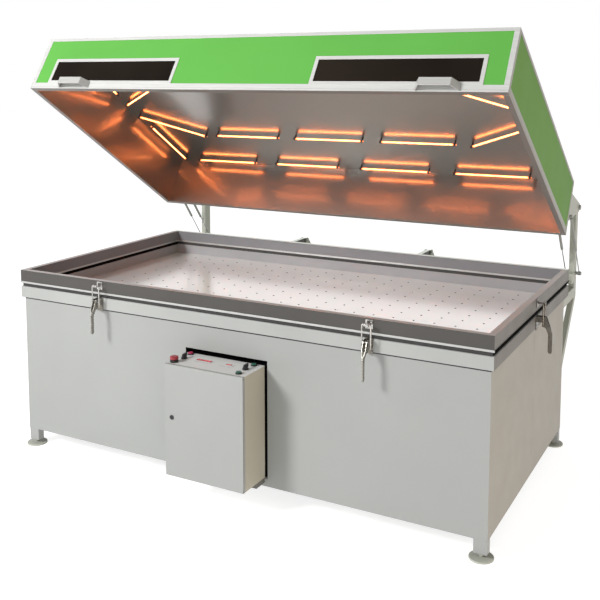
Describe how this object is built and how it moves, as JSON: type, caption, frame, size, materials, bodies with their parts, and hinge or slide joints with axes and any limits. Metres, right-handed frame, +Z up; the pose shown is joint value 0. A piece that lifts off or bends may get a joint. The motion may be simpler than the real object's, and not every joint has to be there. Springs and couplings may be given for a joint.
{
  "type": "membrane vacuum press",
  "caption": "Vacuum press bench with a hinged infrared lid on gas springs, a film frame with toggle latches, a perforated bed and a control cabinet.",
  "frame": {"origin": "on the floor, in the middle of the whole machine's length and depth", "axes": "+X to the machine's right seen from the operator at its front, +Y from its front to its back, +Z up"},
  "size_m": [2.75, 1.921, 2.2118],
  "materials": {
    "panel_paint": "satin",
    "frame_paint": "satin",
    "film_paint": "satin",
    "green_paint": "satin",
    "lid_trim": "satin",
    "reflector": "polished",
    "steel_plate": "satin",
    "zinc": "bright",
    "black_rubber": "matt",
    "lamp_glass": "clear",
    "window_glass": "tinted",
    "ceramic": "matt",
    "black_plastic": "matt",
    "red_plastic": "gloss",
    "green_plastic": "gloss",
    "gear_plastic": "matt",
    "pump_paint": "painted",
    "motor_paint": "painted",
    "spring_paint": "satin"
  },
  "bodies": {
    "bench": {"legs": "frame_paint", "lower_rails": "frame_paint", "leveling_feet": "zinc", "front_panel": "panel_paint", "side_panels": "panel_paint", "rear_panel": "panel_paint", "mains_gland": "black_plastic", "table_frame": "panel_paint", "vacuum_tray": "steel_plate", "perforated_plate": "steel_plate", "table_gasket": "black_rubber", "film_clamp_strip": "zinc", "film_frame": "film_paint", "rear_beam": "frame_paint", "rear_stands": "frame_paint", "pivot_pins": "zinc", "latch_bases": "zinc", "latch_keepers": "zinc", "cabinet_shell": "panel_paint", "control_panel": "panel_paint", "displays": "black_plastic", "cabinet_supports": "frame_paint", "switchgear": "gear_plastic", "control_bezels": "zinc", "pump_shelf": "frame_paint", "vacuum_pump": "pump_paint", "pump_motor": "motor_paint", "vacuum_filter": "lid_trim", "solenoid_valve": "zinc", "vacuum_pipe": "zinc"},
    "lid": {"lid_frame": "lid_trim", "lid_panels": "green_paint", "window_frames": "lid_trim", "window_glass": "window_glass", "lid_handles": "zinc", "lid_reflectors": "reflector", "lamp_tubes": "lamp_glass", "lamp_holders": "ceramic", "lid_brackets": "frame_paint"},
    "rods_left": {"spring_rods_left": "zinc"},
    "rods_right": {"spring_rods_right": "zinc"},
    "tubes_left": {"spring_tubes_left": "spring_paint"},
    "tubes_right": {"spring_tubes_right": "spring_paint"},
    "door": {"cabinet_door": "panel_paint"},
    "lock": {"door_lock": "zinc"},
    "estop": {"estop_cap": "red_plastic"},
    "red_push": {"red_button": "red_plastic"},
    "green_push_front": {"green_button_front": "green_plastic"},
    "green_push_rear": {"green_button_rear": "green_plastic"},
    "turn_left": {"selector_left": "black_plastic"},
    "turn_right": {"selector_right": "black_plastic"},
    "rotor": {"pump_rotor": "zinc"},
    "lever_front_left": {"latch_lever_front_left": "zinc"},
    "bail_front_left": {"latch_bail_front_left": "zinc"},
    "lever_front_right": {"latch_lever_front_right": "zinc"},
    "bail_front_right": {"latch_bail_front_right": "zinc"},
    "lever_side_left": {"latch_lever_side_left": "zinc"},
    "bail_side_left": {"latch_bail_side_left": "zinc"},
    "lever_side_right": {"latch_lever_side_right": "zinc"},
    "bail_side_right": {"latch_bail_side_right": "zinc"}
  },
  "joints": [
    {"name": "lid_hinge", "type": "hinge", "parent": "bench", "child": "lid", "pos_m": [0, 0.9275, 1.269], "axis": [1, 0, 0], "range_deg": [0, 32.73]},
    {"name": "spring_swing_left", "type": "hinge", "parent": "bench", "child": "rods_left", "pos_m": [-1.262, 0.9275, 0.89], "axis": [1, 0, 0], "range_deg": [0, 9.2]},
    {"name": "spring_slide_left", "type": "slide", "parent": "rods_left", "child": "tubes_left", "axis": [0, 0.6074, -0.7944], "range_m": [0, 0.146]},
    {"name": "spring_swing_right", "type": "hinge", "parent": "bench", "child": "rods_right", "pos_m": [1.262, 0.9275, 0.89], "axis": [1, 0, 0], "range_deg": [0, 9.2]},
    {"name": "spring_slide_right", "type": "slide", "parent": "rods_right", "child": "tubes_right", "axis": [0, 0.6074, -0.7944], "range_m": [0, 0.146]},
    {"name": "lever_turn_front_left", "type": "hinge", "parent": "bench", "child": "lever_front_left", "pos_m": [-0.75, -0.8175, 0.8737], "axis": [-1, 0, 0], "range_deg": [0, 100]},
    {"name": "bail_turn_front_left", "type": "hinge", "parent": "lever_front_left", "child": "bail_front_left", "pos_m": [-0.75, -0.81319, 0.843], "axis": [-1, 0, 0], "range_deg": [-72, 0]},
    {"name": "lever_turn_front_right", "type": "hinge", "parent": "bench", "child": "lever_front_right", "pos_m": [0.75, -0.8175, 0.8737], "axis": [-1, 0, 0], "range_deg": [0, 100]},
    {"name": "bail_turn_front_right", "type": "hinge", "parent": "lever_front_right", "child": "bail_front_right", "pos_m": [0.75, -0.81319, 0.843], "axis": [-1, 0, 0], "range_deg": [-72, 0]},
    {"name": "lever_turn_side_left", "type": "hinge", "parent": "bench", "child": "lever_side_left", "pos_m": [-1.338, -0.0695, 0.8737], "axis": [0, 1, 0], "range_deg": [0, 100]},
    {"name": "bail_turn_side_left", "type": "hinge", "parent": "lever_side_left", "child": "bail_side_left", "pos_m": [-1.33369, -0.0695, 0.843], "axis": [0, 1, 0], "range_deg": [-72, 0]},
    {"name": "lever_turn_side_right", "type": "hinge", "parent": "bench", "child": "lever_side_right", "pos_m": [1.338, -0.0695, 0.8737], "axis": [0, -1, 0], "range_deg": [0, 100]},
    {"name": "bail_turn_side_right", "type": "hinge", "parent": "lever_side_right", "child": "bail_side_right", "pos_m": [1.33369, -0.0695, 0.843], "axis": [0, -1, 0], "range_deg": [-72, 0]},
    {"name": "door_swing", "type": "hinge", "parent": "bench", "child": "door", "pos_m": [0.2105, -0.9455, 0.4], "axis": [0, 0, 1], "range_deg": [0, 100]},
    {"name": "lock_turn", "type": "hinge", "parent": "door", "child": "lock", "pos_m": [-0.176, -0.9575, 0.418], "axis": [0, -1, 0], "range_deg": [0, 90]},
    {"name": "estop_press", "type": "slide", "parent": "bench", "child": "estop", "axis": [0, 0, -1], "range_m": [0, 0.004], "stiffness_N_per_m": 500, "springref_m": -0.01},
    {"name": "red_press", "type": "slide", "parent": "bench", "child": "red_push", "axis": [0, 0, -1], "range_m": [0, 0.003], "stiffness_N_per_m": 400, "springref_m": -0.01},
    {"name": "green_front_press", "type": "slide", "parent": "bench", "child": "green_push_front", "axis": [0, 0, -1], "range_m": [0, 0.003], "stiffness_N_per_m": 400, "springref_m": -0.01},
    {"name": "green_rear_press", "type": "slide", "parent": "bench", "child": "green_push_rear", "axis": [0, 0, -1], "range_m": [0, 0.003], "stiffness_N_per_m": 400, "springref_m": -0.01},
    {"name": "selector_turn_left", "type": "hinge", "parent": "bench", "child": "turn_left", "pos_m": [-0.175, -0.8545, 0.68], "axis": [0, 0, 1], "range_deg": [-45, 45]},
    {"name": "selector_turn_right", "type": "hinge", "parent": "bench", "child": "turn_right", "pos_m": [0.166, -0.8525, 0.68], "axis": [0, 0, 1], "range_deg": [-45, 45]},
    {"name": "pump_spin", "type": "hinge", "parent": "bench", "child": "rotor", "pos_m": [0.56, -0.0995, 0.266], "axis": [1, 0, 0], "continuous": true}
  ],
  "couplings": [
    {"joint": "spring_swing_left", "follows": "lid_hinge", "ratio": 0.27932},
    {"joint": "spring_slide_left", "follows": "lid_hinge", "m_per_rad": 0.25541},
    {"joint": "spring_swing_right", "follows": "lid_hinge", "ratio": 0.27932},
    {"joint": "spring_slide_right", "follows": "lid_hinge", "m_per_rad": 0.25541},
    {"joint": "bail_turn_front_left", "follows": "lever_turn_front_left", "ratio": -0.713},
    {"joint": "bail_turn_front_right", "follows": "lever_turn_front_right", "ratio": -0.713},
    {"joint": "bail_turn_side_left", "follows": "lever_turn_side_left", "ratio": -0.713},
    {"joint": "bail_turn_side_right", "follows": "lever_turn_side_right", "ratio": -0.713}
  ]
}
